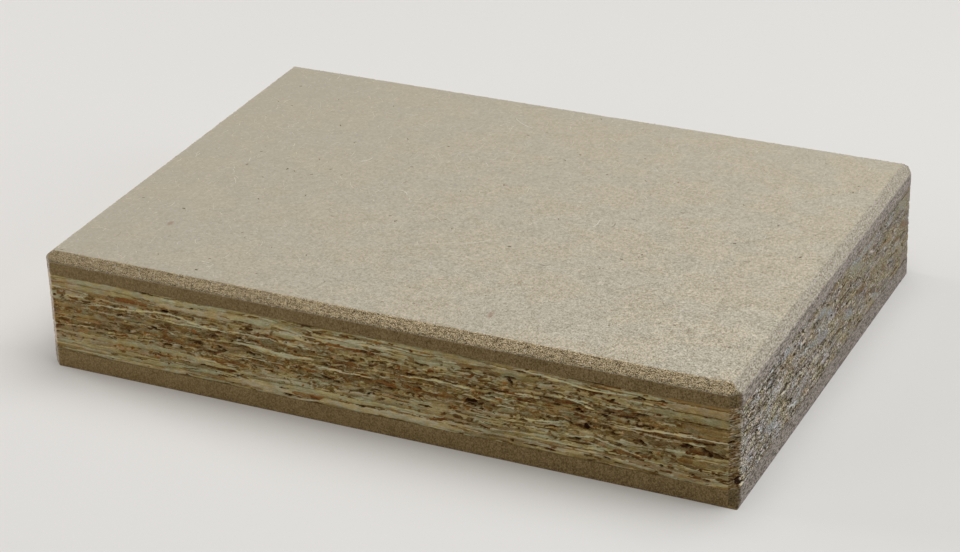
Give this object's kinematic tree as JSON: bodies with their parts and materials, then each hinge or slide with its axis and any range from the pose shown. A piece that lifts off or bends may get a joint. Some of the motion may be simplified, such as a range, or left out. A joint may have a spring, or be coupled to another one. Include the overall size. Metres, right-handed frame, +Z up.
{
  "type": "three-layer composite wood board",
  "caption": "Flat rectangular wood panel sample with smooth fibreboard layers pressed on both sides of a core of long wood strands, its top edge and upright corners bevelled.",
  "frame": {"origin": "middle of the underside", "axes": "+X along the board's length, +Y from the front edge to the back edge, +Z up through the layers"},
  "size_m": [0.21, 0.15, 0.036],
  "materials": {
    "top_fibreboard": "matte",
    "strand_core": "matte",
    "bottom_fibreboard": "matte"
  },
  "bodies": {
    "root": {"top_fibreboard": "top_fibreboard", "strand_core": "strand_core", "bottom_fibreboard": "bottom_fibreboard"}
  },
  "joints": []
}
